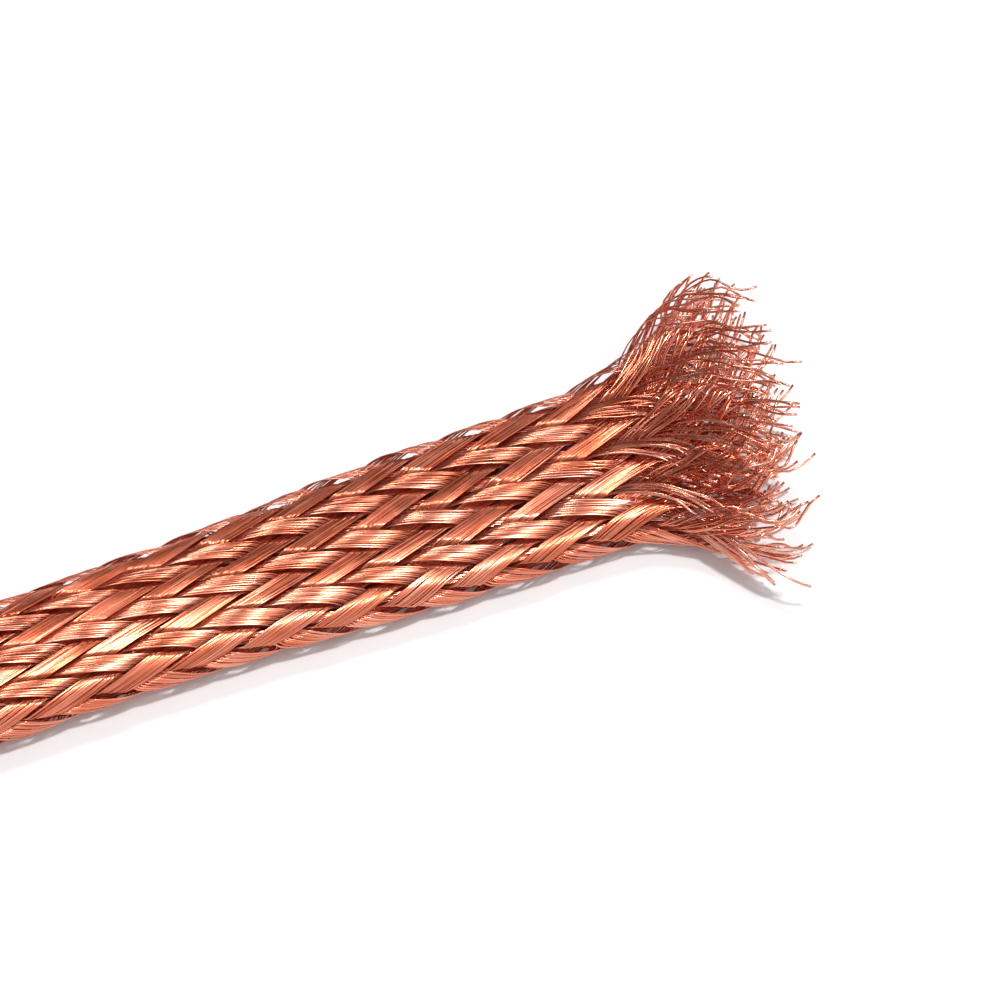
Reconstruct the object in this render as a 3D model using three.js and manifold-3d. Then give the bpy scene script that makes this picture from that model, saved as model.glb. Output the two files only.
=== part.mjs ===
// A flat tubular braid of bare copper, 5 m long. Its end is woven strand by strand and frays into a
// flared tuft, and the rest of its length is a plain lead and a storage coil. Millimetres, +Z up.
import * as THREE from 'three';
import Module from 'manifold-3d';

const wasm = await Module();
wasm.setup();
const { Manifold, Mesh } = wasm;

// Braid
const cordLength = 5000;
const braidWidth = 4;
const braidHeight = 1.6;
const cornerRound = 0.78; // radius at the two edges, as a share of half the height
const carriers = 16; // strands wound each way
const layLength = 31.6; // one turn of a strand around the braid
const strandThickness = 0.12;
const strandCover = 0.88; // share of its pitch that a strand fills
const crossingGap = 0.03; // between two strands where they cross
const floatCrown = 0.05; // how far the middle of a float bulges
const sideMargin = 0.015; // in crossings, from a strand's edge to the bend of the one that passes it

// Woven stretch, measured along the braid
const wovenStart = -1.8;
const slackFrom = 3;
const slackTo = 14;
const slackWidth = 0.95;
const slackHeight = -0.2;

// Mouth, where the wires have opened
const mouthPlace = 19.65;
const mouthRun = 0.75;
const mouthWidth = 5.6;
const mouthHeight = 1.3;
const mouthShift = -1.3;
const mouthGap = 0.2; // more room at each crossing where the weave has opened
const looseStretch = 4.5; // before the mouth, where the strands bend at every crossing
const tuftLength = 2.2; // from the middle of the mouth to the longest tips
const tipSlant = 1.4;
const tipRound = 1.5;
const tipScatter = 0.35;
const tinesPerStrand = 3;
const shortestTine = 1.1; // in crossings, from the last woven crossing
const tineSpread = 0.16; // in crossings
const tineSway = 0.1;
const tineTaper = 0.4;
const tineLift = 0.32;
const tineRise = 0.12; // by which the two sets of tines part at their tips
const tineSink = 0.03;
const groundRoom = 0.01; // under the lowest tines

// Lead and coil
const meetingGap = 0.3;
const coilPlace = -23.5;
const coilLayers = 7;
const coilRows = 5;
const layerPitch = 1.7;
const rowPitch = 4.1;
const hugAngle = THREE.MathUtils.degToRad(60);
const coilDip = 0.25; // between two rows or layers
const coilLand = 0.7; // share of a pitch that is full
const coilSegments = 36;
const leadSides = 12;
const leadSteps = 30;

const copper = 0xb96f56;

const crossingsAround = 2 * carriers;
const tipReach = mouthPlace + tuftLength;
const outerSkin = crossingGap / 2 + strandThickness + floatCrown;
const startWidth = braidWidth - 2 * outerSkin;
const startHeight = braidHeight - 2 * outerSkin;

function ramp(value) {
  const t = THREE.MathUtils.clamp(value, 0, 1);
  return t * t * (3 - 2 * t);
}

// A repeatable number from 0 to 1 for a strand and a purpose
function chance(strand, purpose) {
  const wave = Math.sin(strand * 12.9898 + purpose * 78.233) * 43758.5453;
  return wave - Math.floor(wave);
}

// How far the braid has opened, from 0 in the sound weave to 1 at the tips
function opening(along) {
  return 1 / (1 + Math.exp((mouthPlace - along) / mouthRun));
}

// Half width, half height and middle of the oval that the strands lie on
function ovalAt(along) {
  const slack = ramp((along - slackFrom) / (slackTo - slackFrom));
  const mouth = opening(along);
  const halfWidth = (startWidth + slackWidth * slack + mouthWidth * mouth) / 2;
  const halfHeight = (startHeight + slackHeight * slack + mouthHeight * mouth) / 2;
  const height = halfHeight + outerSkin + groundRoom + mouthGap / 2 * mouth;
  return { halfWidth, halfHeight, side: mouthShift * mouth, height };
}

// The oval is two long arcs over and under, joined by two tight ones at the edges
function ovalArcs({ halfWidth, halfHeight }) {
  const tight = cornerRound * halfHeight;
  const reach = halfWidth - tight;
  const long = (reach ** 2 + halfHeight ** 2 - tight ** 2) / (2 * (halfHeight - tight));
  const turn = Math.atan2(reach, long - halfHeight);
  const longRun = long * turn;
  const quarter = longRun + tight * (Math.PI / 2 - turn);
  return { tight, reach, long, turn, longRun, quarter };
}

// A point at a share of the way around the oval, from the middle of the top towards the near side
function ovalPoint(along, share, offset) {
  const oval = ovalAt(along);
  const arcs = ovalArcs(oval);
  const place = 4 * (share - Math.floor(share));
  const quadrant = Math.floor(place);
  const part = quadrant % 2 ? 1 - (place - quadrant) : place - quadrant;
  const run = part * arcs.quarter;
  const onLong = run < arcs.longRun;
  const angle = onLong ? run / arcs.long : arcs.turn + (run - arcs.longRun) / arcs.tight;
  const radius = (onLong ? arcs.long : arcs.tight) + offset;
  const out = (onLong ? 0 : arcs.reach) + radius * Math.sin(angle);
  const up = (onLong ? oval.halfHeight - arcs.long : 0) + radius * Math.cos(angle);
  const near = quadrant < 2 ? -1 : 1;
  const above = quadrant === 0 || quadrant === 3 ? 1 : -1;
  return new THREE.Vector3(along, oval.side + near * out, oval.height + above * up);
}

// Where each crossing lies along the braid: a strand keeps its length, so the braid shortens as it opens
const firstLevel = Math.floor(wovenStart / (layLength / crossingsAround)) - 2;
const levelStep = 0.25;
const stations = crossingStations();
const lastCrossing = Math.ceil(levelOf(mouthPlace - mouthRun));
const looseFrom = levelOf(mouthPlace - looseStretch);

function crossingStations() {
  const around = 4 * ovalArcs(ovalAt(0)).quarter / crossingsAround;
  const strandRun = Math.hypot(layLength / crossingsAround, around);
  const list = [firstLevel * layLength / crossingsAround];
  while (list.at(-1) < tipReach + tuftLength) {
    const here = 4 * ovalArcs(ovalAt(list.at(-1))).quarter / crossingsAround;
    const forward = Math.sqrt(Math.max(strandRun ** 2 - here ** 2, (0.4 * strandRun) ** 2));
    list.push(list.at(-1) + levelStep * forward);
  }
  return list;
}

function stationOf(level) {
  const place = THREE.MathUtils.clamp((level - firstLevel) / levelStep, 0, stations.length - 1.001);
  const index = Math.floor(place);
  return THREE.MathUtils.lerp(stations[index], stations[index + 1], place - index);
}

function levelOf(along) {
  const index = stations.findIndex((station) => station > along) - 1;
  const share = (along - stations[index]) / (stations[index + 1] - stations[index]);
  return firstLevel + levelStep * (index + share);
}

// Half a strand's width in crossings: a strand spreads a little where the braid opens
function halfCover(level) {
  const growth = ovalArcs(ovalAt(stationOf(level))).quarter / ovalArcs(ovalAt(0)).quarter;
  return strandCover / 2 * growth ** -0.6;
}

// How far a strand lies from the oval where it passes over or under another
function passingHeight(level) {
  return (crossingGap + mouthGap * opening(stationOf(level)) + strandThickness) / 2;
}

// Where a strand is around the braid, in crossings: strands are numbered by their place at the mouth.
// Direction 1 winds towards the near side over the top, and -1 winds the other way.
function placeAround(direction, index, level) {
  return 2 * index + direction * (level - lastCrossing);
}

function isOver(direction, index, level) {
  if (level > lastCrossing) return direction > 0;
  const band = THREE.MathUtils.euclideanModulo(placeAround(direction, index, level), 4);
  return direction > 0 ? band < 2 : band >= 2;
}

function strandPoint(direction, index, level, across, offset) {
  const share = (placeAround(direction, index, level) + across) / crossingsAround;
  return ovalPoint(stationOf(level - direction * across), share, offset);
}

// A rung crosses the strand along the edge of the strands that it passes over or under
function rung(direction, index, level, offset, edges) {
  const row = (height) => edges.map((across) => strandPoint(direction, index, level, across, height));
  return { outer: row(offset + strandThickness / 2), inner: row(offset - strandThickness / 2) };
}

function wovenRungs(direction, index) {
  const rungs = [];
  const add = (level, over, bulge) => {
    const half = halfCover(level);
    const offset = (over ? 1 : -1) * passingHeight(level) + bulge;
    rungs.push(rung(direction, index, level, offset, [-half, half]));
  };
  for (let level = firstLevel + 1; level <= lastCrossing; level++) {
    const over = isOver(direction, index, level);
    const bend = halfCover(level) + sideMargin;
    const entering = level === firstLevel + 1 || isOver(direction, index, level - 1) !== over;
    const leaving = level === lastCrossing || isOver(direction, index, level + 1) !== over;
    if (entering) add(level - bend, over, 0);
    if (over && entering && !leaving) add(level + 0.5, over, floatCrown);
    if (!over && entering && !leaving && level > looseFrom) add(level + 0.5, over, 0);
    if (leaving && level < lastCrossing) add(level + bend, over, 0);
  }
  return rungs;
}

// A body is collected as corners and triangles
class Body {
  constructor() {
    this.corners = [];
    this.faces = [];
  }

  add(point) {
    this.corners.push(point.x, point.y, point.z);
    return this.corners.length / 3 - 1;
  }

  quad(a, b, c, d) {
    this.faces.push(a, b, c, a, c, d);
  }

  volume() {
    const [p, q, r] = [new THREE.Vector3(), new THREE.Vector3(), new THREE.Vector3()];
    let sum = 0;
    for (let i = 0; i < this.faces.length; i += 3) {
      p.fromArray(this.corners, 3 * this.faces[i]);
      q.fromArray(this.corners, 3 * this.faces[i + 1]);
      r.fromArray(this.corners, 3 * this.faces[i + 2]);
      sum += p.dot(q.cross(r));
    }
    return sum;
  }

  manifold() {
    if (this.volume() < 0) this.faces.reverse();
    return new Manifold(new Mesh({
      numProp: 3,
      vertProperties: new Float32Array(this.corners),
      triVerts: new Uint32Array(this.faces),
    }));
  }
}

// Joins a rung to the next; the diagonal runs along the braid, so the faces follow its round edges
function bridge(body, from, to, direction) {
  const [a0, a1, b0, b1] = [from.outer[0], from.outer[1], to.outer[0], to.outer[1]];
  const [c0, c1, d0, d1] = [from.inner[0], from.inner[1], to.inner[0], to.inner[1]];
  if (direction > 0) {
    body.faces.push(a0, a1, b0, a1, b1, b0, c0, d0, c1, c1, d0, d1);
  } else {
    body.faces.push(a0, b1, b0, a0, a1, b1, c0, d0, d1, c0, d1, c1);
  }
  body.quad(a1, c1, d1, b1);
  body.quad(a0, b0, d0, c0);
}

// The last woven rung meets a row of narrow tines
function fan(body, from, to) {
  const last = to.outer.length - 1;
  for (let k = 0; k < last; k++) {
    body.faces.push(from.outer[0], to.outer[k + 1], to.outer[k]);
    body.faces.push(from.inner[0], to.inner[k], to.inner[k + 1]);
  }
  body.faces.push(from.outer[0], from.outer[1], to.outer[last]);
  body.faces.push(from.inner[0], to.inner[last], from.inner[1]);
  body.quad(from.outer[1], from.inner[1], to.inner[last], to.outer[last]);
  body.quad(from.outer[0], to.outer[0], to.inner[0], from.inner[0]);
}

function indexed(body, ring) {
  return { outer: ring.outer.map((p) => body.add(p)), inner: ring.inner.map((p) => body.add(p)) };
}

// How far along a tine ends: the tuft is longest in the middle and shortest at the near side
function tipStation(direction, index, tine) {
  const level = levelOf(tipReach);
  const end = ovalPoint(tipReach, placeAround(direction, index, level) / crossingsAround, 0);
  const oval = ovalAt(tipReach);
  const side = (end.y - oval.side) / oval.halfWidth;
  const seed = index * tinesPerStrand + tine;
  const scatter = tipScatter * (2 * chance(seed, 2 + direction) - 1);
  const place = tipReach + tipSlant * side - tipRound * side ** 2 + scatter;
  const shortest = stationOf(lastCrossing + shortestTine) + tipScatter * chance(seed, 6 + direction);
  return Math.max(place, shortest);
}

function tineRings(direction, index, tine, forkEdges) {
  const seed = index * tinesPerStrand + tine;
  const tipLevel = levelOf(tipStation(direction, index, tine));
  const middle = (forkEdges[tine] + forkEdges[tine + 1]) / 2;
  const half = (forkEdges[tine + 1] - forkEdges[tine]) / 2;
  const sway = tineSpread * (tine - (tinesPerStrand - 1) / 2) + tineSway * (chance(seed, 5 + direction) - 0.5);
  const raised = direction > 0 ? tineLift * chance(seed, 9) : -tineSink;
  const passed = lastCrossing + 1 - halfCover(lastCrossing + 1) - sideMargin;
  const steps = [
    { level: passed, share: 0.2 },
    { level: (passed + tipLevel) / 2, share: 0.55 },
    { level: tipLevel, share: 1 },
  ];
  return steps.map(({ level, share }) => {
    const offset = direction * (passingHeight(level) + tineRise * share) + raised * share ** 2;
    const centre = middle + sway * share;
    const width = half * (1 - tineTaper * share);
    return groundedRung(direction, index, level, offset, [centre - width, centre + width]);
  });
}

// A tine on the underside lies on the ground and isn't lifted below it
function groundedRung(direction, index, level, offset, edges) {
  const ring = rung(direction, index, level, offset, edges);
  const lowest = Math.min(...[...ring.outer, ...ring.inner].map((point) => point.z));
  for (const point of [...ring.outer, ...ring.inner]) point.z += Math.max(groundRoom - lowest, 0);
  return ring;
}

function strandBody(direction, index) {
  const body = new Body();
  const rungs = wovenRungs(direction, index).map((ring) => indexed(body, ring));
  for (let k = 0; k + 1 < rungs.length; k++) bridge(body, rungs[k], rungs[k + 1], direction);
  const over = isOver(direction, index, lastCrossing);
  const forkLevel = lastCrossing + halfCover(lastCrossing) + sideMargin;
  const forkOffset = (over ? 1 : -1) * passingHeight(forkLevel);
  const half = halfCover(forkLevel);
  const forkEdges = [];
  for (let k = 0; k <= tinesPerStrand; k++) forkEdges.push(half * (2 * k / tinesPerStrand - 1));
  const fork = indexed(body, rung(direction, index, forkLevel, forkOffset, forkEdges));
  fan(body, rungs.at(-1), fork);
  for (let tine = 0; tine < tinesPerStrand; tine++) {
    let from = {
      outer: [fork.outer[tine], fork.outer[tine + 1]],
      inner: [fork.inner[tine], fork.inner[tine + 1]],
    };
    for (const ring of tineRings(direction, index, tine, forkEdges)) {
      const to = indexed(body, ring);
      bridge(body, from, to, direction);
      from = to;
    }
    body.quad(from.outer[0], from.outer[1], from.inner[1], from.inner[0]);
  }
  body.quad(rungs[0].outer[1], rungs[0].outer[0], rungs[0].inner[0], rungs[0].inner[1]);
  return body;
}

function geometryOf(manifold) {
  const mesh = manifold.getMesh();
  const geometry = new THREE.BufferGeometry();
  geometry.setAttribute('position', new THREE.BufferAttribute(new Float32Array(mesh.vertProperties), 3));
  geometry.setIndex(new THREE.BufferAttribute(new Uint32Array(mesh.triVerts), 1));
  return geometry;
}

// A strand is cut square at the start, where it runs on as the plain lead
function strandGeometry(direction, index) {
  const whole = strandBody(direction, index).manifold();
  return geometryOf(whole.trimByPlane([1, 0, 0], wovenStart));
}

// Sizes of the coil follow from the length that it holds
const coilTurns = coilLayers * coilRows;
const straightRun = wovenStart - meetingGap - coilPlace;
const coiledLength = cordLength - tipReach + wovenStart - straightRun;
const coilMiddle = coiledLength / (2 * Math.PI * coilTurns);
const coilInner = coilMiddle - coilLayers * layerPitch / 2;
const coilOuter = coilMiddle + coilLayers * layerPitch / 2;
const coilHeight = coilRows * rowPitch;
const leadRadius = coilOuter + meetingGap + braidHeight / 2;

// The ring shows its rows at the two walls and its layers on top, and is flat underneath
function coilGeometry() {
  const [first, last] = [(1 - coilLand) / 2, (1 + coilLand) / 2];
  const profile = [new THREE.Vector2(coilInner, 0), new THREE.Vector2(coilOuter, 0)];
  const add = (radius, height) => profile.push(new THREE.Vector2(radius, height));
  for (let row = 0; row < coilRows; row++) {
    if (row > 0) add(coilOuter - coilDip, row * rowPitch);
    if (row > 0) add(coilOuter, (row + first) * rowPitch);
    add(coilOuter, (row + last) * rowPitch);
  }
  for (let layer = coilLayers - 1; layer >= 0; layer--) {
    add(coilInner + (layer + last) * layerPitch, coilHeight);
    add(coilInner + (layer + first) * layerPitch, coilHeight);
    if (layer > 0) add(coilInner + layer * layerPitch, coilHeight - coilDip);
  }
  for (let row = coilRows - 1; row >= 0; row--) {
    add(coilInner, (row + last) * rowPitch);
    if (row > 0) add(coilInner, (row + first) * rowPitch);
    if (row > 0) add(coilInner + coilDip, row * rowPitch);
  }
  profile.push(profile[0].clone());
  const ring = new THREE.LatheGeometry(profile, coilSegments);
  ring.rotateX(Math.PI / 2);
  ring.translate(coilPlace, leadRadius, 0);
  return ring;
}

// The lead hugs the coil on its edge, leaves it straight and turns flat on the ground
function leadPlace(run) {
  const hugRun = leadRadius * hugAngle;
  const angle = Math.min(run - hugRun, 0) / leadRadius;
  const straight = Math.max(run - hugRun, 0);
  const twist = Math.PI / 2 * (1 - ramp(straight / straightRun));
  const middle = new THREE.Vector3(
    coilPlace + leadRadius * Math.sin(angle) + straight,
    leadRadius * (1 - Math.cos(angle)),
    0,
  );
  return { middle, side: new THREE.Vector3(-Math.sin(angle), Math.cos(angle), 0), twist };
}

function leadSection() {
  const section = new THREE.Shape();
  for (let k = 0; k < leadSides; k++) {
    const angle = (k + 0.5) / leadSides * 2 * Math.PI;
    const [out, up] = [Math.cos(angle), Math.sin(angle)];
    const bulge = (1 / (Math.abs(out) ** 3 + Math.abs(up) ** 3)) ** (1 / 3);
    const [x, y] = [braidWidth / 2 * out * bulge, braidHeight / 2 * up * bulge];
    if (k === 0) section.moveTo(x, y);
    else section.lineTo(x, y);
  }
  section.closePath();
  return section;
}

function leadGeometry() {
  const depth = leadRadius * hugAngle + straightRun;
  const lead = new THREE.ExtrudeGeometry(leadSection(), { depth, steps: leadSteps, bevelEnabled: false });
  const corners = lead.attributes.position;
  const lowest = new Map();
  const placed = [];
  for (let k = 0; k < corners.count; k++) {
    const { middle, side, twist } = leadPlace(corners.getZ(k));
    const across = corners.getX(k) * Math.cos(twist) - corners.getY(k) * Math.sin(twist);
    const up = corners.getX(k) * Math.sin(twist) + corners.getY(k) * Math.cos(twist);
    const key = corners.getZ(k).toFixed(4);
    lowest.set(key, Math.min(lowest.get(key) ?? 0, up));
    placed.push({ point: middle.addScaledVector(side, across), up, key });
  }
  placed.forEach(({ point, up, key }, k) => corners.setXYZ(k, point.x, point.y, up - lowest.get(key)));
  return lead;
}

function addPiece(group, name, geometry) {
  const material = new THREE.MeshStandardMaterial({ color: copper, metalness: 1, roughness: 0.35 });
  const mesh = new THREE.Mesh(geometry, material);
  mesh.name = name;
  group.add(mesh);
}

const braid = new THREE.Group();
for (const [letter, direction] of [['a', 1], ['b', -1]]) {
  for (let index = 0; index < carriers; index++) {
    const number = String(index + 1).padStart(2, '0');
    addPiece(braid, `strand_${letter}_${number}`, strandGeometry(direction, index));
  }
}
addPiece(braid, 'braid_lead', leadGeometry());
addPiece(braid, 'braid_coil', coilGeometry());

// The origin is under the middle of the whole part
const bounds = new THREE.Box3().setFromObject(braid);
const centre = bounds.getCenter(new THREE.Vector3());
braid.position.set(-centre.x, -centre.y, -bounds.min.z);

export default braid;
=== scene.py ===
import math
from functools import partial

import bpy
import numpy as np
from mathutils import Matrix, Vector


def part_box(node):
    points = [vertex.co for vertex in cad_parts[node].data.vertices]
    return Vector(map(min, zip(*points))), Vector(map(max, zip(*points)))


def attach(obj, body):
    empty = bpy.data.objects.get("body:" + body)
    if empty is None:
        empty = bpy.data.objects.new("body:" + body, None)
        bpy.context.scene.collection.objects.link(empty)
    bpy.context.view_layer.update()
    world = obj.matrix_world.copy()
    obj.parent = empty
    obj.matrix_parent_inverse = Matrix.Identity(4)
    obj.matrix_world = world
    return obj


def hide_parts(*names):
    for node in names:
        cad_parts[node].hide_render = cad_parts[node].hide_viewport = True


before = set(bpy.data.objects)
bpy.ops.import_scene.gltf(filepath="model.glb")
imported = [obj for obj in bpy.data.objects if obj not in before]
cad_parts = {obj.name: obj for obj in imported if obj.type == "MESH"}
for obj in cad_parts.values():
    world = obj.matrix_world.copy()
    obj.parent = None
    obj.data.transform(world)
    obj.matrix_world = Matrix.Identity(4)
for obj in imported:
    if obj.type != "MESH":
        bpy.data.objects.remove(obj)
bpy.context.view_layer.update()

MM = 0.001

# Braid, in millimetres, as in the part
CORD_LENGTH = 5000.0
BRAID_WIDTH = 4.0
BRAID_HEIGHT = 1.6
CORNER_ROUND = 0.78
CARRIERS = 16
LAY_LENGTH = 31.6
STRAND_THICKNESS = 0.12
STRAND_COVER = 0.88
CROSSING_GAP = 0.03
FLOAT_CROWN = 0.05
WOVEN_START = -1.8
SLACK_FROM = 3.0
SLACK_TO = 14.0
SLACK_WIDTH = 0.95
SLACK_HEIGHT = -0.2
MOUTH_PLACE = 19.65
MOUTH_RUN = 0.75
MOUTH_WIDTH = 5.6
MOUTH_HEIGHT = 1.3
MOUTH_SHIFT = -1.3
MOUTH_GAP = 0.2
TUFT_LENGTH = 2.2
TIP_SLANT = 1.4
TIP_ROUND = 1.5
TIP_SCATTER = 0.35
GROUND_ROOM = 0.01
MEETING_GAP = 0.3
COIL_PLACE = -23.5
COIL_LAYERS = 7
COIL_ROWS = 5
LAYER_PITCH = 1.7
ROW_PITCH = 4.1

# A strand keeps its length where the braid opens, and covers a smaller share of the way around
LEVEL_STEP = 0.25
LEAST_ADVANCE = 0.4
COVER_POWER = -0.6

# Wires of a strand, in millimetres
WIRES_PER_STRAND = 10
WIRE_DIAMETER = 0.07
WIRE_FLATNESS = 0.4
WIRE_STAGGER = 0.004
WIRE_SIDES = 6
CROWN_A = 0.1
CROWN_B = 0.02
RINGS_PER_CROSSING = 5

# How strands and wires wander in the weave: across in crossings, the rest in millimetres
STRAND_WANDER = 0.035
STRAND_QUIVER = 0.02
STRAND_ROLL = 0.03
STRAND_ROCK = 0.02
STRAND_HEAVE = 0.012
WIRE_WANDER = 0.02
WIRE_HEAVE = 0.008
FULL_WAVE = 6.3

# How a loose wire turns away towards its tip, on the same scales
LOOSE_CROSSINGS = 3.2
SWAY_SPREAD = 0.2
SWAY_LIMIT = 0.36
LIFT_MEAN = 0.08
LIFT_SPREAD = 0.14
LIFT_FROM = -0.18
LIFT_TO = 0.32
LIFT_POWER = 1.3
WAVE_ACROSS = 0.1
WAVE_OUT = 0.07

# How light or dark the copper is painted: by strand and wire at random, and with painted light by direction
# and looseness: the a strands lighter and the b strands darker, the loose tips lighter against the shade
# among the wires
DIRECTION_PAINTED_LIGHT = 0.08
STRAND_TONE = 0.1
WIRE_TONE = 0.4
LOOSE_PAINTED_LIGHT = 0.8

# Cord outside the picture, in millimetres along it
CORD_STEP = 1.5
CORD_SIDES = 16
CORD_TUCK = 0.4
TUCKED_SCALE = 0.84
TUCK_POINTS = 5
LEAD_POINTS = 22
ROW_CHANGE = math.radians(20)
LAYER_CHANGE = math.radians(60)
CHANGE_RUN = math.radians(40)

CROSSINGS_AROUND = 2 * CARRIERS
CROSSING_RUN = LAY_LENGTH / CROSSINGS_AROUND
TIP_REACH = MOUTH_PLACE + TUFT_LENGTH
OUTER_SKIN = CROSSING_GAP / 2 + STRAND_THICKNESS + FLOAT_CROWN
PLAIN_LENGTH = CORD_LENGTH - (TIP_REACH - WOVEN_START)

# The coil follows from the length that it holds
COIL_TURNS = COIL_LAYERS * COIL_ROWS
STRAIGHT_RUN = WOVEN_START - MEETING_GAP - COIL_PLACE
COIL_MIDDLE = (PLAIN_LENGTH - STRAIGHT_RUN) / (2 * math.pi * COIL_TURNS)
COIL_OUTER = COIL_MIDDLE + COIL_LAYERS * LAYER_PITCH / 2
LEAD_RADIUS = COIL_OUTER + MEETING_GAP + BRAID_HEIGHT / 2

# The braid's middle line is placed from the box of the coil's solid
coil_low, coil_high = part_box("braid_coil")
ORIGIN = Vector((
    (coil_low[0] + coil_high[0]) / 2 - COIL_PLACE * MM,
    (coil_low[1] + coil_high[1]) / 2 - LEAD_RADIUS * MM,
    coil_low[2],
))


def in_frame(points):
    """Points in millimetres from the braid's middle line, as metres in the row's frame."""
    return np.asarray(points) * MM + np.array(ORIGIN)


# Camera
CAMERA_ELEVATION = math.radians(55)
BRAID_HEADING = math.radians(22.8)
PICTURE_WIDTH = 26.53
CAMERA_DISTANCE = 200.0
PICTURE_MIDDLE = (14.27, 0.0, 0.8)


def make_camera():
    """Aims the camera at the picture's middle; gives its ground directions, to the right and away."""
    right = Vector((math.cos(BRAID_HEADING), -math.sin(BRAID_HEADING), 0))
    away = Vector((math.sin(BRAID_HEADING), math.cos(BRAID_HEADING), 0))
    vertical = Vector((0, 0, 1))
    look = away * math.cos(CAMERA_ELEVATION) - vertical * math.sin(CAMERA_ELEVATION)
    up = away * math.sin(CAMERA_ELEVATION) + vertical * math.cos(CAMERA_ELEVATION)
    data = bpy.data.cameras.new("camera")
    data.sensor_width = 36
    data.lens = data.sensor_width * CAMERA_DISTANCE / PICTURE_WIDTH
    data.clip_start = 0.01
    data.clip_end = 20
    camera = bpy.data.objects.new("camera", data)
    bpy.context.collection.objects.link(camera)
    pose = Matrix((right, up, -look)).transposed().to_4x4()
    pose.translation = Vector(in_frame(PICTURE_MIDDLE)) - look * CAMERA_DISTANCE * MM
    camera.matrix_world = pose
    bpy.context.scene.camera = camera
    return right, away


camera_right, camera_away = make_camera()


# Forms shared with the part
def ramp(value):
    t = np.clip(value, 0, 1)
    return t * t * (3 - 2 * t)


def opening(along):
    """How far the braid has opened, from 0 in the sound weave to 1 at the tips."""
    return 1 / (1 + np.exp((MOUTH_PLACE - along) / MOUTH_RUN))


def oval_at(along):
    """Half width, half height, side shift and height of the oval that the strands lie on."""
    slack = ramp((along - SLACK_FROM) / (SLACK_TO - SLACK_FROM))
    mouth = opening(along)
    half_width = (BRAID_WIDTH - 2 * OUTER_SKIN + SLACK_WIDTH * slack + MOUTH_WIDTH * mouth) / 2
    half_height = (BRAID_HEIGHT - 2 * OUTER_SKIN + SLACK_HEIGHT * slack + MOUTH_HEIGHT * mouth) / 2
    height = half_height + OUTER_SKIN + GROUND_ROOM + MOUTH_GAP / 2 * mouth
    return half_width, half_height, MOUTH_SHIFT * mouth, height


def oval_arcs(half_width, half_height):
    """The oval is two long arcs over and under, joined by two tight ones at the edges."""
    tight = CORNER_ROUND * half_height
    reach = half_width - tight
    long = (reach**2 + half_height**2 - tight**2) / (2 * (half_height - tight))
    turn = np.arctan2(reach, long - half_height)
    long_run = long * turn
    quarter = long_run + tight * (math.pi / 2 - turn)
    return tight, reach, long, turn, long_run, quarter


def quarter_at(along):
    half_width, half_height, _, _ = oval_at(along)
    return oval_arcs(half_width, half_height)[-1]


def round_the_oval(half_width, half_height, share, offset):
    """Place across, place up, and the outward direction, at a share of the way around."""
    tight, reach, long, turn, long_run, quarter = oval_arcs(half_width, half_height)
    place = 4 * (share - np.floor(share))
    quadrant = np.minimum(np.floor(place), 3)
    part = np.where(quadrant % 2 == 1, 1 - (place - quadrant), place - quadrant)
    run = part * quarter
    on_long = run < long_run
    angle = np.where(on_long, run / long, turn + (run - long_run) / tight)
    radius = np.where(on_long, long, tight) + offset
    out = np.where(on_long, 0, reach) + radius * np.sin(angle)
    up = np.where(on_long, half_height - long, 0) + radius * np.cos(angle)
    near = np.where(quadrant < 2, -1.0, 1.0)
    above = np.where((quadrant == 0) | (quadrant == 3), 1.0, -1.0)
    return near * out, above * up, near * np.sin(angle), above * np.cos(angle)


def oval_point(along, share, offset):
    half_width, half_height, side, height = oval_at(along)
    across, up, out_y, out_z = round_the_oval(half_width, half_height, share, offset)
    points = np.stack([along, side + across, height + up], -1)
    outward = np.stack([np.zeros_like(out_y), out_y, out_z], -1)
    return points, outward


def crossing_stations():
    """Where the crossings lie along the braid; they draw together where it opens."""
    first = math.floor(WOVEN_START / CROSSING_RUN) - 2
    strand_run = math.hypot(CROSSING_RUN, 4 * quarter_at(0.0) / CROSSINGS_AROUND)
    stations = [first * CROSSING_RUN]
    while stations[-1] < TIP_REACH + TUFT_LENGTH:
        around = 4 * quarter_at(stations[-1]) / CROSSINGS_AROUND
        advance = math.sqrt(max(strand_run**2 - around**2, (LEAST_ADVANCE * strand_run) ** 2))
        stations.append(stations[-1] + LEVEL_STEP * advance)
    levels = first + LEVEL_STEP * np.arange(len(stations))
    return levels, np.array(stations)


LEVELS, STATIONS = crossing_stations()


def station_of(level):
    return np.interp(level, LEVELS, STATIONS)


def level_of(along):
    return np.interp(along, STATIONS, LEVELS)


MOUTH_CROSSING = math.ceil(level_of(MOUTH_PLACE - MOUTH_RUN))
LAST_CROSSING = MOUTH_CROSSING + 1


def half_cover(level):
    """Half a strand's width, in crossings."""
    growth = quarter_at(station_of(level)) / quarter_at(0.0)
    return STRAND_COVER / 2 * growth**COVER_POWER


def passing_height(level):
    """How far a strand lies from the oval where it passes over or under another."""
    return (CROSSING_GAP + MOUTH_GAP * opening(station_of(level)) + STRAND_THICKNESS) / 2


def place_around(direction, index, level):
    """Where a strand is around the braid, in crossings; strands are numbered by their place at the mouth."""
    return 2 * index + direction * (level - MOUTH_CROSSING)


def is_over(direction, index, level):
    """Over two, under two; past the last crossing one set of strands lies outside the other."""
    band = place_around(direction, index, level) % 4
    woven = band < 2 if direction > 0 else band >= 2
    return np.where(level > LAST_CROSSING, direction > 0, woven)


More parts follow.
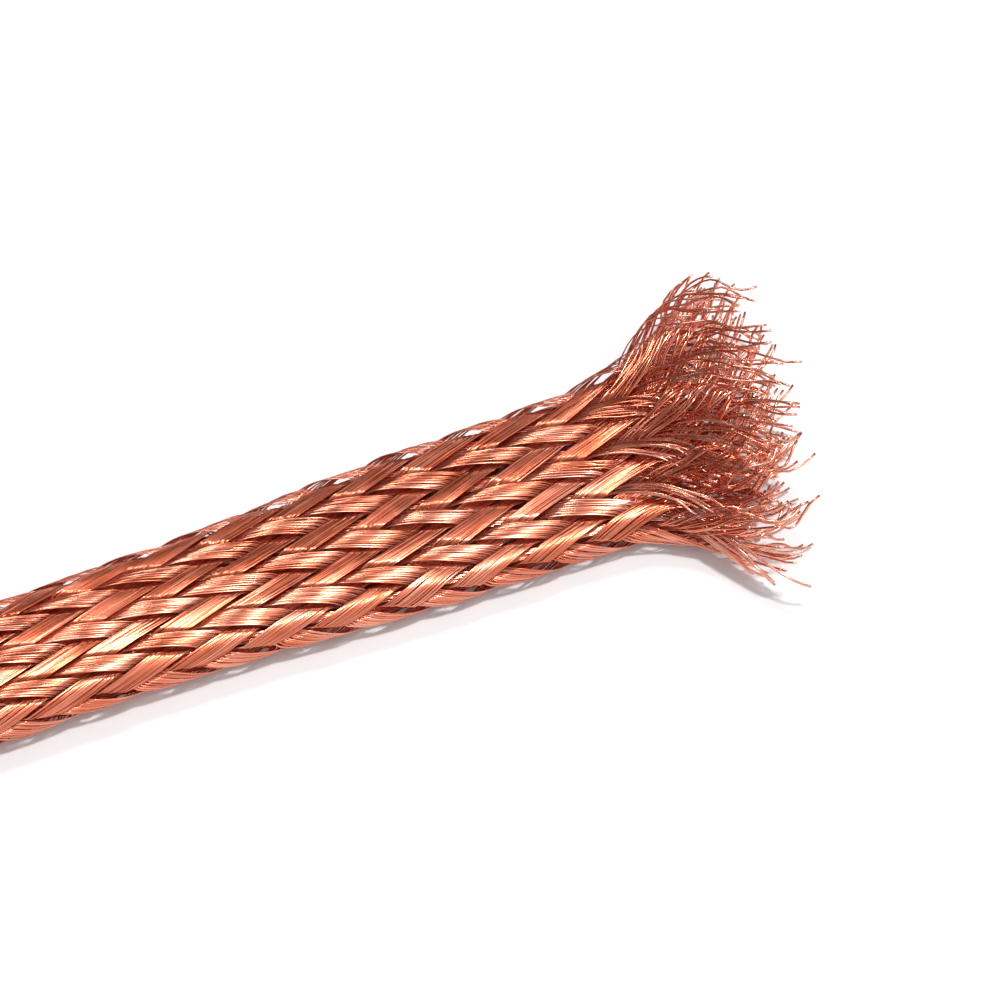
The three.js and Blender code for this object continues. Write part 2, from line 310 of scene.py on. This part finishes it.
# Wires of the woven stretch
def weave_offset(direction, index, level):
    """How far out a strand lies: over two, under two, with a bulge in the middle of a float."""
    base = np.floor(level)
    frac = level - base
    cover = half_cover(level)
    here = np.where(is_over(direction, index, base), 1.0, -1.0)
    after = np.where(is_over(direction, index, base + 1), 1.0, -1.0)
    side = here + (after - here) * ramp((frac - cover) / (1 - 2 * cover))
    along_float = np.where(here == after, frac, np.where(frac < 0.5, frac + 1, frac - 1))
    place = np.clip((along_float + cover) / (1 + 2 * cover), 0, 1)
    bulge = (CROWN_A if direction > 0 else CROWN_B) * 4 * place * (1 - place) * side
    return side * passing_height(level) + bulge


def tip_level(direction, index, scatter):
    """Where a wire is cut: the tuft is longest in the middle and shortest at the near side."""
    share = place_around(direction, index, level_of(TIP_REACH)) / CROSSINGS_AROUND
    end, _ = oval_point(np.array(TIP_REACH), np.array(share), 0.0)
    half_width, _, side, _ = oval_at(TIP_REACH)
    place = (end[1] - side) / half_width
    return level_of(TIP_REACH + TIP_SLANT * place - TIP_ROUND * place**2 + scatter)


def any_phase(rng):
    return rng.uniform(0, FULL_WAVE)


def wire_path(direction, index, wire, phases, rng):
    """Middle line of one wire, its outward direction, and how loose it is at each point."""
    scatter = TIP_SCATTER * rng.uniform(-1, 1)
    start = level_of(WOVEN_START)
    end = tip_level(direction, index, scatter)
    level = np.linspace(start, end, int((end - start) * RINGS_PER_CROSSING) + 1)
    opened = opening(station_of(level) + MOUTH_RUN)
    loose = np.clip(1 - (end - level) / LOOSE_CROSSINGS, 0, 1)

    # Across the strand: its own place, then the strand's and the wire's wander
    place = (wire + 0.5) / WIRES_PER_STRAND * 2 - 1
    cover = half_cover(level)
    across = place * (cover + (0.5 - cover) * opened)
    across = across + STRAND_WANDER * np.sin(0.8 * level + phases[2])
    across = across + STRAND_QUIVER * np.sin(1.9 * level + phases[3])
    across = across + WIRE_WANDER * np.sin(rng.uniform(0.5, 1.1) * level + any_phase(rng))

    # Out from the braid: the weave, then the strand's roll and the wire's own height
    offset = weave_offset(direction, index, level) + rng.uniform(-WIRE_STAGGER, WIRE_STAGGER)
    roll = STRAND_ROLL * np.sin(1.57 * level + phases[0]) + STRAND_ROCK * np.sin(0.9 * level + phases[1])
    offset = offset + roll * place + STRAND_HEAVE * np.sin(1.1 * level + phases[2])
    offset = offset + WIRE_HEAVE * np.sin(rng.uniform(0.8, 1.7) * level + any_phase(rng))

    # The frayed end: each wire keeps the waves of the weave and turns away by itself
    sway = np.clip(rng.normal(0, SWAY_SPREAD), -SWAY_LIMIT, SWAY_LIMIT)
    lift = np.clip(rng.normal(LIFT_MEAN, LIFT_SPREAD), LIFT_FROM, LIFT_TO)
    pace = rng.uniform(0.7, 1.4)
    across = across + sway * loose + WAVE_ACROSS * opened * np.sin(2.6 * pace * level + any_phase(rng))
    ripple = WAVE_OUT * opened * np.cos(3.1 * pace * level + any_phase(rng))
    offset = offset + lift * loose**LIFT_POWER + ripple

    share = (place_around(direction, index, level) + across) / CROSSINGS_AROUND
    points, outward = oval_point(station_of(level - direction * across), share, offset)
    points[:, 0] = np.maximum(points[:, 0], WOVEN_START)
    points[:, 2] = np.maximum(points[:, 2], WIRE_DIAMETER / 2 + GROUND_ROOM)
    return points, outward, loose


def directions_along(points, outward):
    """Sideways and outward unit directions, square to the path."""
    tangent = np.gradient(points, axis=0)
    tangent /= np.linalg.norm(tangent, axis=1)[:, None]
    out = outward - (outward * tangent).sum(1)[:, None] * tangent
    out /= np.linalg.norm(out, axis=1)[:, None]
    return np.cross(tangent, out), out


def closed_skin(rows, sides):
    """Faces of a tube of rings with flat ends, turned outward, as indices of its corners."""
    first = np.arange(rows - 1)[:, None] * sides + np.arange(sides)[None]
    second = np.arange(rows - 1)[:, None] * sides + (np.arange(sides)[None] + 1) % sides
    faces = np.stack([first, first + sides, second + sides, second], -1).reshape(-1, 4).tolist()
    faces.append(list(range(sides)))
    faces.append([(rows - 1) * sides + k for k in range(sides)][::-1])
    return faces


def wire_corners(points, outward, half_across, half_out):
    side, out = directions_along(points, outward)
    turn = np.arange(WIRE_SIDES) * 2 * math.pi / WIRE_SIDES
    ring = half_across * np.cos(turn)[None, :, None] * side[:, None]
    ring = ring + half_out[:, None, None] * np.sin(turn)[None, :, None] * out[:, None]
    return (points[:, None] + ring).reshape(-1, 3)


def mesh_object(name, verts, faces, material):
    mesh = bpy.data.meshes.new(name)
    mesh.from_pydata([tuple(v) for v in in_frame(verts)], [], faces)
    mesh.polygons.foreach_set("use_smooth", [len(face) == 4 for face in faces])
    mesh.materials.append(material)
    mesh.update()
    piece = bpy.data.objects.new(name, mesh)
    bpy.context.collection.objects.link(piece)
    return piece


def make_strand(direction, letter, index, material):
    """All the wires of one strand, as one piece."""
    rng = np.random.default_rng(1000 * (direction + 2) + index)
    # Painted light: the a strands are made lighter and the b strands darker, as the light falls on them
    strand_tone_and_painted_light = rng.uniform(-STRAND_TONE, STRAND_TONE) + DIRECTION_PAINTED_LIGHT * direction
    phases = rng.uniform(0, FULL_WAVE, 4)
    verts, faces, tones_and_painted_light = [], [], []
    for wire in range(WIRES_PER_STRAND):
        points, outward, loose = wire_path(direction, index, wire, phases, rng)
        half = WIRE_DIAMETER / 2
        half_out = half * (WIRE_FLATNESS + (1 - WIRE_FLATNESS) * loose)
        faces += [[v + len(verts) for v in face] for face in closed_skin(len(points), WIRE_SIDES)]
        verts += wire_corners(points, outward, half, half_out).tolist()
        # Painted light: loose wires are made lighter towards their tips, against the shade among them
        tone_and_painted_light = 0.5 + strand_tone_and_painted_light + rng.uniform(-WIRE_TONE, WIRE_TONE) + LOOSE_PAINTED_LIGHT * loose
        tones_and_painted_light += np.repeat(tone_and_painted_light, WIRE_SIDES).tolist()
    piece = mesh_object(f"wires_{letter}_{index + 1:02d}", verts, faces, material)
    layer = piece.data.attributes.new("tone_and_painted_light", "FLOAT", "POINT")
    layer.data.foreach_set("value", np.asarray(tones_and_painted_light, dtype=np.float32))
    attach(piece, "root")
    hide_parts(f"strand_{letter}_{index + 1:02d}")


# The free cord: lead and coil
def coil_slot(turn):
    """Radius and height of a turn's middle; the rows run up one layer and down the next."""
    if turn < 0:
        return LEAD_RADIUS, ROW_PITCH / 2
    layer, step = divmod(min(turn, COIL_TURNS - 1), COIL_ROWS)
    row = step if layer % 2 == 0 else COIL_ROWS - 1 - step
    radius = COIL_OUTER - (layer + 0.5) * LAYER_PITCH
    return radius, (row + 0.5) * ROW_PITCH


def between_slots(angle, change_at):
    """Radius and height at an angle, easing from one turn's slot to the next after change_at."""
    turn = math.floor((angle - change_at) / (2 * math.pi))
    share = ramp((angle - change_at - 2 * math.pi * turn) / CHANGE_RUN)
    before, after = coil_slot(turn - 1), coil_slot(turn)
    return [start + (end - start) * share for start, end in zip(before, after)]


def cord_route():
    """Points along the cord from the woven stretch to its inner end, and its outward directions."""
    tucked = np.linspace(WOVEN_START + CORD_TUCK, WOVEN_START - CORD_TUCK, TUCK_POINTS)
    straight = np.concatenate([tucked, np.linspace(WOVEN_START - 1, COIL_PLACE, LEAD_POINTS)])
    twist = math.pi / 2 * ramp((WOVEN_START - MEETING_GAP - straight) / STRAIGHT_RUN)
    heights = (BRAID_WIDTH - BRAID_HEIGHT) / 2 * np.sin(twist) + BRAID_HEIGHT / 2
    heights[-1] = ROW_PITCH / 2
    points = [(x, 0.0, z) for x, z in zip(straight, heights)]
    outward = [(0.0, -math.sin(t), math.cos(t)) for t in twist]
    run = sum(math.dist(points[k], points[k + 1]) for k in range(len(points) - 1))
    angle = 0.0
    while run < PLAIN_LENGTH and angle < 2 * math.pi * (COIL_TURNS + 0.25):
        angle += CORD_STEP / COIL_MIDDLE
        _, height = between_slots(angle, ROW_CHANGE)
        radius, _ = between_slots(angle, LAYER_CHANGE)
        out = (-math.sin(angle), -math.cos(angle), 0.0)
        points.append((COIL_PLACE + radius * out[0], LEAD_RADIUS + radius * out[1], height))
        outward.append(out)
        run += math.dist(points[-2], points[-1])
    return np.array(points), np.array(outward)


def make_cord(material):
    """The rest of the braid, drawn thinner where it is tucked into the woven stretch."""
    points, outward = cord_route()
    side, out = directions_along(points, outward)
    share = np.arange(CORD_SIDES) / CORD_SIDES
    across, up, _, _ = round_the_oval(BRAID_WIDTH / 2, BRAID_HEIGHT / 2, share, 0.0)
    untucked = ramp((WOVEN_START + CORD_TUCK - points[:, 0]) / (2 * CORD_TUCK))
    scale = TUCKED_SCALE + (1 - TUCKED_SCALE) * untucked
    section = across[None, :, None] * side[:, None] + up[None, :, None] * out[:, None]
    verts = (points[:, None] + scale[:, None, None] * section).reshape(-1, 3)
    piece = mesh_object("braid_cord", verts, closed_skin(len(points), CORD_SIDES), material)
    run = np.concatenate([[0], np.cumsum(np.linalg.norm(np.diff(points, axis=0), axis=1))])
    add_weave_map(piece, run / CROSSING_RUN)
    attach(piece, "root")
    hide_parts("braid_lead", "braid_coil")


def add_weave_map(piece, levels):
    """A map in crossings, along and around, that the weave's material reads."""
    layer = piece.data.uv_layers.new(name="weave")
    for face in piece.data.polygons:
        columns = [vertex % CORD_SIDES for vertex in face.vertices]
        closes = CORD_SIDES - 1 in columns
        for corner, vertex, column in zip(face.loop_indices, face.vertices, columns):
            around = CORD_SIDES if closes and column == 0 else column
            level = levels[vertex // CORD_SIDES]
            layer.data[corner].uv = (level, around * CROSSINGS_AROUND / CORD_SIDES)


# Materials: stops from dark to light copper
WIRE_COLOURS = [(0.2, (0.58, 0.135, 0.06)), (0.5, (0.78, 0.235, 0.14)), (0.85, (0.95, 0.44, 0.32))]
# The weave's near-black stop is painted shade for the grooves between strands and wires
WEAVE_COLOURS = [(0.1, (0.06, 0.008, 0.004)), (0.5, (0.42, 0.10, 0.05)), (0.9, (0.76, 0.23, 0.135))]
BLOTCH_SCALE = 900.0
POLISH_SCALE = 2500.0
WEAR_SCALE = 700.0


def new_metal(name):
    material = bpy.data.materials.new(name)
    material.use_nodes = True
    tree = material.node_tree
    shader = tree.nodes["Principled BSDF"]
    shader.inputs["Metallic"].default_value = 1.0
    return material, tree, shader


def math_node(tree, operation, *values):
    node = tree.nodes.new("ShaderNodeMath")
    node.operation = operation
    for socket, value in zip(node.inputs, values):
        if isinstance(value, (int, float)):
            socket.default_value = value
        else:
            tree.links.new(value, socket)
    return node.outputs[0]


def colour_ramp(tree, factor, stops):
    node = tree.nodes.new("ShaderNodeValToRGB")
    while len(node.color_ramp.elements) < len(stops):
        node.color_ramp.elements.new(0.5)
    for element, (place, colour) in zip(node.color_ramp.elements, stops):
        element.position = place
        element.color = (*colour, 1)
    tree.links.new(factor, node.inputs["Fac"])
    return node.outputs["Color"]


def noise(tree, scale):
    where = tree.nodes.new("ShaderNodeTexCoord")
    node = tree.nodes.new("ShaderNodeTexNoise")
    node.inputs["Scale"].default_value = scale
    tree.links.new(where.outputs["Object"], node.inputs["Vector"])
    return node.outputs["Fac"]


def wire_material():
    """Bright copper, lighter or darker by the wire's tone, which holds painted light, and in blotches."""
    material, tree, shader = new_metal("copper_wire")
    maths = partial(math_node, tree)
    # The tone attribute holds random tone and painted light
    tone_and_painted_light = tree.nodes.new("ShaderNodeAttribute")
    tone_and_painted_light.attribute_name = "tone_and_painted_light"
    wire_part = maths("MULTIPLY", tone_and_painted_light.outputs["Fac"], 0.5)
    blotch_part = maths("MULTIPLY", noise(tree, BLOTCH_SCALE), 0.5)
    colour = colour_ramp(tree, maths("ADD", wire_part, blotch_part), WIRE_COLOURS)
    tree.links.new(colour, shader.inputs["Base Color"])
    roughness = maths("ADD", maths("MULTIPLY", noise(tree, POLISH_SCALE), 0.2), 0.12)
    tree.links.new(roughness, shader.inputs["Roughness"])
    return material


def weave_material():
    """The weave of the stretch outside the picture, drawn by its crossings, with painted shade in its
    grooves.
    """
    material, tree, shader = new_metal("copper_weave")
    maths = partial(math_node, tree)
    where = tree.nodes.new("ShaderNodeUVMap")
    where.uv_map = "weave"
    split = tree.nodes.new("ShaderNodeSeparateXYZ")
    tree.links.new(where.outputs["UV"], split.inputs["Vector"])
    along, around = split.outputs["X"], split.outputs["Y"]

    # Each set of strands runs along its own diagonal, and a cell shows the set that is over
    first = maths("MULTIPLY", maths("ADD", around, along), 0.5)
    second = maths("MULTIPLY", maths("SUBTRACT", around, along), 0.5)
    cell = maths("ADD", maths("FLOOR", first), maths("FLOOR", second))
    over = maths("LESS_THAN", maths("FLOORED_MODULO", cell, 4.0), 1.5)
    under = maths("SUBTRACT", 1.0, over)
    place = maths("ADD", maths("MULTIPLY", second, over), maths("MULTIPLY", first, under))
    across = maths("FRACT", place)

    # Strands are domed across, and so are the wires in them; the height makes the bump and also painted
    # shade, darker in the grooves between strands and between wires
    from_middle = maths("ABSOLUTE", maths("SUBTRACT", across, 0.5))
    dome = maths("SUBTRACT", 1.0, maths("POWER", maths("MULTIPLY", from_middle, 2.0), 4.0))
    wire_place = maths("FRACT", maths("MULTIPLY", across, float(WIRES_PER_STRAND)))
    from_wire = maths("ABSOLUTE", maths("SUBTRACT", wire_place, 0.5))
    wire_dome = maths("SUBTRACT", 1.0, maths("POWER", maths("MULTIPLY", from_wire, 2.0), 2.0))
    height = maths("ADD", dome, maths("MULTIPLY", wire_dome, 0.25))

    wear = maths("MULTIPLY", noise(tree, WEAR_SCALE), 0.35)
    # Painted shade: the colour is darker where the height is low, in the grooves, with random wear added
    painted_shade_and_wear = maths("ADD", maths("MULTIPLY", height, 0.5), wear)
    tree.links.new(colour_ramp(tree, painted_shade_and_wear, WEAVE_COLOURS), shader.inputs["Base Color"])
    bump = tree.nodes.new("ShaderNodeBump")
    bump.inputs["Strength"].default_value = 1.0
    bump.inputs["Distance"].default_value = 0.12 * MM
    tree.links.new(height, bump.inputs["Height"])
    tree.links.new(bump.outputs["Normal"], shader.inputs["Normal"])
    shader.inputs["Roughness"].default_value = 0.26
    return material


# Ground, lights and surroundings
def make_ground():
    bpy.ops.mesh.primitive_plane_add(size=3.0, location=(0, 0, -0.02 * MM))
    ground = bpy.context.object
    ground.name = "ground"
    material = bpy.data.materials.new("white_ground")
    material.use_nodes = True
    shader = material.node_tree.nodes["Principled BSDF"]
    shader.inputs["Base Color"].default_value = (0.95, 0.95, 0.95, 1)
    shader.inputs["Roughness"].default_value = 0.9
    shader.inputs["Specular IOR Level"].default_value = 0.1
    ground.data.materials.append(material)


def add_light(name, right, away, up, size, watts):
    """An area light, placed in millimetres from the picture's middle by the camera's directions."""
    data = bpy.data.lights.new(name, "AREA")
    data.shape = "SQUARE"
    data.size = size * MM
    data.energy = watts
    light = bpy.data.objects.new(name, data)
    bpy.context.collection.objects.link(light)
    middle = Vector(in_frame(PICTURE_MIDDLE))
    place = middle + (camera_right * right + camera_away * away + Vector((0, 0, up))) * MM
    light.location = place
    light.rotation_euler = (middle - place).to_track_quat("-Z", "Y").to_euler()


def make_world(dark, bright, towards, sharpness):
    """Soft surroundings, brightest towards one direction; the camera itself sees plain white."""
    world = bpy.data.worlds.new("surroundings")
    bpy.context.scene.world = world
    world.use_nodes = True
    tree = world.node_tree
    maths = partial(math_node, tree)
    plain = tree.nodes["Background"]
    plain.inputs["Color"].default_value = (0.94, 0.97, 1, 1)
    where = tree.nodes.new("ShaderNodeTexCoord")
    dot = tree.nodes.new("ShaderNodeVectorMath")
    dot.operation = "DOT_PRODUCT"
    dot.inputs[1].default_value = Vector(towards).normalized()
    tree.links.new(where.outputs["Generated"], dot.inputs[0])
    spread = maths("POWER", maths("MAXIMUM", dot.outputs["Value"], 0.0), sharpness)
    strength = maths("ADD", maths("MULTIPLY", spread, bright), dark)
    tree.links.new(strength, plain.inputs["Strength"])
    seen = tree.nodes.new("ShaderNodeBackground")
    seen.inputs["Color"].default_value = (1, 1, 1, 1)
    rays = tree.nodes.new("ShaderNodeLightPath")
    mix = tree.nodes.new("ShaderNodeMixShader")
    tree.links.new(rays.outputs["Is Camera Ray"], mix.inputs[0])
    tree.links.new(plain.outputs[0], mix.inputs[1])
    tree.links.new(seen.outputs[0], mix.inputs[2])
    tree.links.new(mix.outputs[0], tree.nodes["World Output"].inputs["Surface"])


make_cord(weave_material())
wire_copper = wire_material()
for letter, direction in (("a", 1), ("b", -1)):
    for index in range(CARRIERS):
        make_strand(direction, letter, index, wire_copper)
make_ground()
add_light("far_left", right=-66, away=150, up=287, size=60, watts=0.248)
add_light("far_right", right=110, away=190, up=240, size=60, watts=0.07)
add_light("overhead", right=78, away=-8, up=300, size=28, watts=0.49)
make_world(dark=0.16, bright=1.1, towards=(0.28, -0.64, 0.71), sharpness=3.0)

bpy.context.scene.view_settings.view_transform = "Standard"
